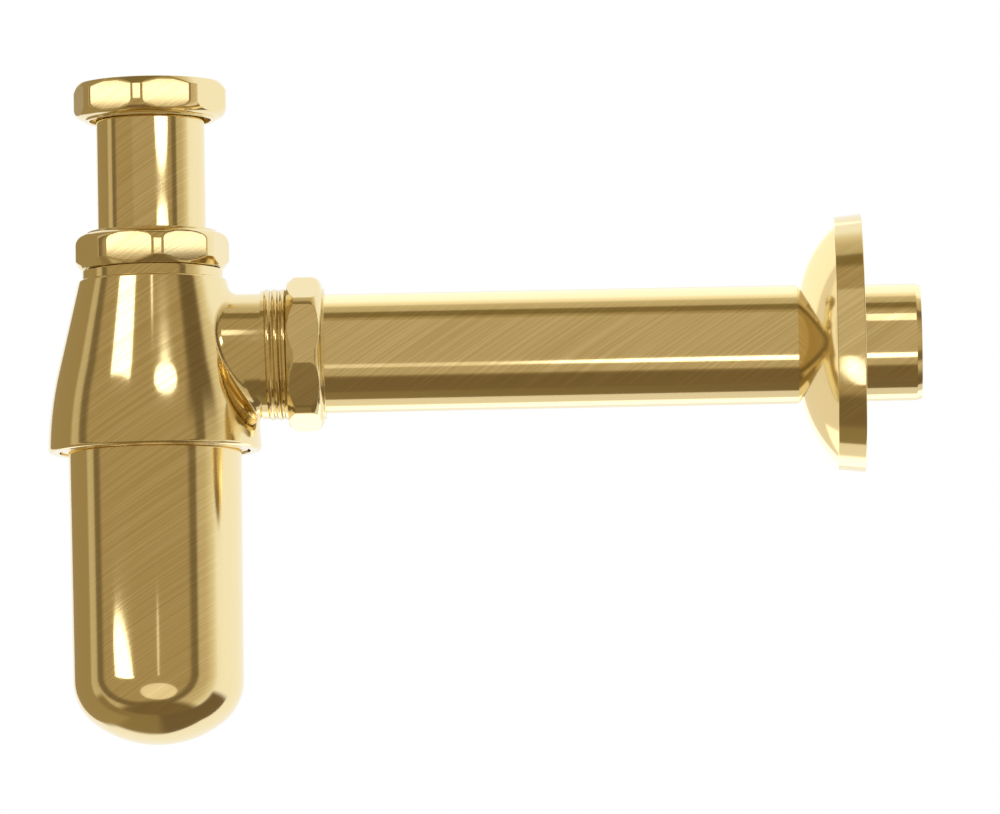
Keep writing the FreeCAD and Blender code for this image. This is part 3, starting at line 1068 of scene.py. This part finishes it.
@dataclass(frozen=True)
class Studio:
    """White sweep behind the trap, a dim room in front of it, soft lamps, and the camera.

    The room's stops are colours from straight in front of the trap to straight behind it.
    """

    focal_px: float = 9000.0
    camera_mm: tuple[float, float, float] = (134.95, -2638.84, -340.83)
    yaw_deg: float = -0.72
    pitch_deg: float = 5.262
    roll_deg: float = -1.082
    room_depth: tuple[float, float, float] = (0.13, 0.5, -0.07)
    room_middle: float = 0.5
    room_stops: tuple[tuple[float, str], ...] = (
        (0.0, "b09e7a"), (0.235, "b09e7a"), (0.275, "7f7055"), (0.335, "7f7055"), (0.36, "c9bb9d"),
        (0.46, "cfc1a4"), (0.56, "e8dec4"), (0.64, WHITE), (1.0, WHITE),
    )
    backdrop_from: float = 0.88
    floor_drop_mm: float = 600.0
    floor_width_mm: float = 12000.0
    floor_colour: str = "f4f4f2"
    floor_roughness: float = 0.9

    def build(self) -> None:
        """Makes the world, the lamps, the floor and the camera."""
        self.light_room()
        # Two flats of an upright nut and the corner between them, and the same on the inlet nut upside down.
        half_flat_deg = 180.0 / NUT_FLATS
        facings = [UnionNut.turn_deg + half_flat_deg * number for number in range(3)]
        inverted = [-facing for facing in reversed(facings)]
        lamps = [
            *self.outlet_lamps(),
            *self.upright_lamps(),
            *self.nut_lamps("neck_nut", level_mm=-48.2, facings_deg=facings),
            *self.nut_lamps("inlet_union_nut", level_mm=-4.2, facings_deg=inverted),
        ]
        for lamp in lamps:
            lamp.build(Vector(self.camera_mm))
        self.lay_floor()
        self.set_camera()
        bpy.context.scene.view_settings.view_transform = "Standard"

    def outlet_lamps(self) -> list[StudioLamp]:
        """Gives the lamps of the outlet pipe, the outlet nut and the flange.

        Returns:
            The lamps, each kept to the bodies whose highlight it makes.
        """
        pipe, flange = ("outlet_pipe",), ("wall_flange",)
        pipe_and_nut = ("outlet_pipe", "outlet_nut")
        undersides = (*pipe_and_nut, "wall_flange", "trap_body")
        oval = LampShape.OVAL
        return [
            # The white line along the pipe and the fainter one that leads to it, then its front and top.
            StudioLamp("pipe_line_lamp", pipe, spot_mm=(215.0, -16.6, -86.4), facing_deg=(0.0, -18.0),
                       distance_mm=600.0, size_mm=(260.0, 95.0), brightness=2.0, shape=oval),
            StudioLamp("pipe_glow_lamp", pipe, spot_mm=(120.0, -16.6, -86.4), facing_deg=(0.0, -18.0),
                       distance_mm=600.0, size_mm=(560.0, 75.0), brightness=0.4),
            StudioLamp("pipe_fill_lamp", pipe_and_nut, spot_mm=(135.0, -17.5, -81.0), facing_deg=(0.0, 0.0),
                       distance_mm=300.0, size_mm=(700.0, 900.0), brightness=0.11),
            StudioLamp("pipe_top_lamp", pipe, spot_mm=(135.0, -8.8, -65.8), facing_deg=(0.0, 60.0),
                       distance_mm=400.0, size_mm=(700.0, 420.0), brightness=0.25),
            # The undersides of what lies along the outlet.
            StudioLamp("under_lamp", undersides, spot_mm=(135.0, -7.0, -96.5), facing_deg=(0.0, -67.0),
                       distance_mm=400.0, size_mm=(700.0, 320.0), brightness=0.6),
            # The glint on the flange's rim, the rim itself, and the dome.
            StudioLamp("rim_lamp", flange, spot_mm=(205.2, -36.0, -91.0), facing_deg=(-6.4, -18.0),
                       distance_mm=100.0, size_mm=(7.0, 56.0), brightness=2.2, shape=oval),
            StudioLamp("rim_fill_lamp", flange, spot_mm=(205.0, -38.0, -81.0), facing_deg=(-6.4, 0.0),
                       distance_mm=300.0, size_mm=(200.0, 500.0), brightness=0.2),
            StudioLamp("flange_lamp", flange, spot_mm=(197.0, -24.0, -81.0), facing_deg=(-64.0, -6.0),
                       distance_mm=400.0, size_mm=(900.0, 900.0), brightness=0.5),
            StudioLamp("flange_top_lamp", flange, spot_mm=(195.0, -24.0, -60.0), facing_deg=(-62.0, 30.0),
                       distance_mm=500.0, size_mm=(500.0, 500.0), brightness=0.35),
            # The short end of the pipe behind the flange.
            StudioLamp("spigot_lamp", pipe, spot_mm=(217.5, -16.2, -75.0), facing_deg=(0.0, 20.2),
                       distance_mm=150.0, size_mm=(19.0, 40.0), brightness=1.2),
        ]

    def upright_lamps(self) -> list[StudioLamp]:
        """Gives the lamps of the body, the inlet tube and the cup.

        Returns:
            The lamps, each kept to the body whose highlight it makes.
        """
        bell, tube, cup = ("trap_body",), ("inlet_tube",), ("bottle_cup",)
        oval = LampShape.OVAL
        return [
            # The glint on the outlet neck, and the two on the bell.
            StudioLamp("neck_lamp", bell, spot_mm=(21.0, -17.4, -76.0), facing_deg=(0.0, 16.4),
                       distance_mm=300.0, size_mm=(14.0, 60.0), brightness=1.4, shape=oval),
            StudioLamp("bell_strip", bell, spot_mm=(-7.3, -24.7, -74.5), facing_deg=(-16.4, 13.7),
                       distance_mm=600.0, size_mm=(244.0, 110.0), brightness=2.4),
            StudioLamp("bell_spot", bell, spot_mm=(4.8, -28.8, -89.7), facing_deg=(9.5, 11.2),
                       distance_mm=600.0, size_mm=(266.0, 120.0), brightness=2.4, shape=oval),
            # The glints at the top and the foot of the tube, and its front.
            StudioLamp("tube_top_lamp", tube, spot_mm=(4.0, -15.5, -11.0), facing_deg=(14.5, 0.0),
                       distance_mm=200.0, size_mm=(100.0, 34.0), brightness=3.0, shape=oval),
            StudioLamp("tube_foot_lamp", tube, spot_mm=(4.0, -15.5, -44.0), facing_deg=(14.5, 0.0),
                       distance_mm=200.0, size_mm=(92.0, 15.0), brightness=3.0, shape=oval),
            StudioLamp("tube_fill_lamp", tube, spot_mm=(0.0, -16.0, -30.0), facing_deg=(0.0, 0.0),
                       distance_mm=300.0, size_mm=(400.0, 300.0), brightness=0.05),
            # The large glint low on the cup, the line beside it, and the light on its round bottom.
            StudioLamp("cup_lamp", cup, spot_mm=(-9.0, -23.7, -178.0), facing_deg=(-20.7, 0.0),
                       distance_mm=200.0, size_mm=(112.0, 31.0), brightness=2.6, shape=oval, lean_deg=-12.0),
            StudioLamp("cup_line_lamp", cup, spot_mm=(1.3, -25.2, -170.0), facing_deg=(2.9, 0.0),
                       distance_mm=200.0, size_mm=(10.0, 30.0), brightness=0.6, shape=oval),
            StudioLamp("dome_lamp", cup, spot_mm=(1.3, -24.3, -181.0), facing_deg=(2.9, -17.5),
                       distance_mm=300.0, size_mm=(273.0, 195.0), brightness=0.5, shape=oval),
        ]

    def nut_lamps(self, nut: str, level_mm: float, facings_deg: list[float]) -> list[StudioLamp]:
        """Gives the lamps that whiten the upper part of two flats of a nut and of the corner between them.

        Args:
            nut: The nut's body.
            level_mm: Height of the middle of the highlight.
            facings_deg: How far the left flat, the corner and the right flat are turned to the right.

        Returns:
            One lamp for each.
        """
        lamps = []
        for place, facing in zip(("left", "middle", "right"), facings_deg):
            spot = heading(facing, 0.0) * UnionNut.half_flats + Vector((0.0, 0.0, level_mm))
            lamps.append(StudioLamp(
                f"{nut}_{place}_lamp", (nut,), spot_mm=tuple(spot), facing_deg=(facing, 0.0),
                distance_mm=100.0, size_mm=(30.0, 7.0), brightness=1.6,
            ))
        return lamps

    def dark_patches(self) -> list[DarkPatch]:
        """Gives the dark parts of the room.

        Returns:
            The patches, in the order in which they are laid over the room.
        """
        low_aside = (("Z", -0.3, -0.45), ("Y", -0.1, 0.0), ("Y", 0.7, 0.6))
        return [
            # Under the trap, towards the front.
            DarkPatch("7d6b4d", (("Z", -0.72, -0.86), ("Y", 0.1, 0.0))),
            # Low down and a little behind, to the left and to the right.
            DarkPatch("8f7e59", (("X", 0.2, 0.1), *low_aside)),
            DarkPatch("74634a", (("X", -0.06, 0.06), *low_aside)),
            # Above the trap, towards the front.
            DarkPatch("86764f", (("Z", 0.9, 0.95), ("Y", -0.12, -0.2))),
            # High to the right, in front.
            DarkPatch("75644a", (("X", 0.56, 0.7), ("Y", -0.16, -0.3), ("Z", 0.14, 0.4))),
            # To the left, behind.
            DarkPatch("a08e68", (("X", -0.34, -0.44), ("Y", 0.14, 0.22))),
        ]

    def light_room(self) -> None:
        """Builds the world: white behind, a dark frame round the front, and a dim front."""
        world = bpy.data.worlds.new("studio")
        bpy.context.scene.world = world
        world.use_nodes = True
        tree = world.node_tree
        tree.nodes.clear()
        outlook = add_node(tree, "ShaderNodeTexCoord")
        depth = add_node(tree, "ShaderNodeVectorMath", {"operation": "DOT_PRODUCT"}, {
            0: outlook.outputs["Generated"], 1: self.room_depth,
        })
        shifted = add_node(tree, "ShaderNodeMath", {"operation": "ADD"}, {
            0: depth.outputs["Value"], 1: self.room_middle,
        })
        ramp = add_node(tree, "ShaderNodeValToRGB", {}, {0: shifted.outputs[0]})
        ramp.color_ramp.elements[0].position = self.room_stops[0][0]
        ramp.color_ramp.elements[1].position = self.room_stops[-1][0]
        for position, _ in self.room_stops[1:-1]:
            ramp.color_ramp.elements.new(position)
        for element, (_, colour) in zip(ramp.color_ramp.elements, self.room_stops):
            element.color = linear(colour)
        view = add_node(tree, "ShaderNodeSeparateXYZ", {}, {0: outlook.outputs["Generated"]})
        colour = ramp.outputs["Color"]
        for patch in self.dark_patches():
            colour = patch.add(tree, view, colour)
        room = add_node(tree, "ShaderNodeBackground", {}, {"Color": colour, "Strength": 1.0})
        white = add_node(tree, "ShaderNodeBackground", {}, {"Color": linear(WHITE), "Strength": 1.0})
        # The camera sees white all round; metal and glass see it behind the trap, and the room elsewhere.
        path = add_node(tree, "ShaderNodeLightPath")
        mirrored = add_node(tree, "ShaderNodeMath", {"operation": "MAXIMUM"}, {
            0: path.outputs["Is Glossy Ray"], 1: path.outputs["Is Transmission Ray"],
        })
        behind = add_node(tree, "ShaderNodeMath", {"operation": "GREATER_THAN"}, {
            0: shifted.outputs[0], 1: self.backdrop_from,
        })
        shown = add_node(tree, "ShaderNodeMath", {"operation": "MULTIPLY"}, {
            0: mirrored.outputs[0], 1: behind.outputs[0],
        })
        bright = add_node(tree, "ShaderNodeMath", {"operation": "MAXIMUM"}, {
            0: path.outputs["Is Camera Ray"], 1: shown.outputs[0],
        })
        seen = add_node(tree, "ShaderNodeMixShader", {}, {
            0: bright.outputs[0], 1: room.outputs[0], 2: white.outputs[0],
        })
        add_node(tree, "ShaderNodeOutputWorld", {}, {"Surface": seen.outputs[0]})

    def lay_floor(self) -> None:
        """Lays a pale floor well below the trap, which hangs on a wall."""
        half = self.floor_width_mm * MM / 2
        corners = [(-half, -half, 0), (half, -half, 0), (half, half, 0), (-half, half, 0)]
        mesh = bpy.data.meshes.new("floor")
        mesh.from_pydata(corners, [], [(0, 1, 2, 3)])
        mesh.transform(Matrix.Translation((0, 0, -self.floor_drop_mm * MM)))
        floor = bpy.data.objects.new("floor", mesh)
        bpy.context.scene.collection.objects.link(floor)
        # The floor doesn't hide the lower half of the room from the trap, which mirrors it.
        floor.visible_glossy = False
        floor.visible_diffuse = False
        material = bpy.data.materials.new("pale_floor")
        material.use_nodes = True
        tree = material.node_tree
        surface = tree.nodes["Principled BSDF"]
        surface.inputs["Base Color"].default_value = linear(self.floor_colour)
        surface.inputs["Roughness"].default_value = self.floor_roughness
        glow = add_node(tree, "ShaderNodeEmission", {}, {"Color": linear(WHITE), "Strength": 1.0})
        path = add_node(tree, "ShaderNodeLightPath")
        seen = add_node(tree, "ShaderNodeMixShader", {}, {
            0: path.outputs["Is Camera Ray"], 1: surface.outputs[0], 2: glow.outputs[0],
        })
        tree.links.new(seen.outputs[0], tree.nodes["Material Output"].inputs["Surface"])
        mesh.materials.append(material)
        floor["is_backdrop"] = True

    def set_camera(self) -> None:
        """Sets up the long lens that looks slightly up at the trap."""
        lens = bpy.data.cameras.new("camera")
        lens.sensor_width = SENSOR_MM
        lens.lens = self.focal_px * SENSOR_MM / FRAME_PIXELS
        lens.clip_end = SIGHT_LIMIT_M
        camera = bpy.data.objects.new("camera", lens)
        camera.location = Vector(self.camera_mm) * MM
        yaw = math.radians(self.yaw_deg)
        pitch = math.radians(self.pitch_deg)
        look = Vector((math.sin(yaw) * math.cos(pitch), math.cos(yaw) * math.cos(pitch), math.sin(pitch)))
        upright = look.to_track_quat("-Z", "Y")
        roll = Euler((0, 0, math.radians(self.roll_deg))).to_quaternion()
        camera.rotation_euler = (upright @ roll).to_euler()
        bpy.context.scene.collection.objects.link(camera)
        bpy.context.scene.camera = camera


def main() -> None:
    """Builds the trap piece by piece, then the studio round it."""
    logging.basicConfig(level=logging.INFO, format="%(message)s")
    finishes = {Slot.BRASS: BRASS.build(), Slot.RUBBER: RUBBER.build(), Slot.PLASTIC: PLASTIC.build()}
    workshop = Workshop(finishes, DRAWN_BRASS.build(), thread_tree())
    for assembly in (InletUnion(), NeckUnion(), TrapBody(), Bottle(), OutletUnion(), WallFlange()):
        assembly.build(workshop)
    Studio().build()


if __name__ == "__main__":
    main()
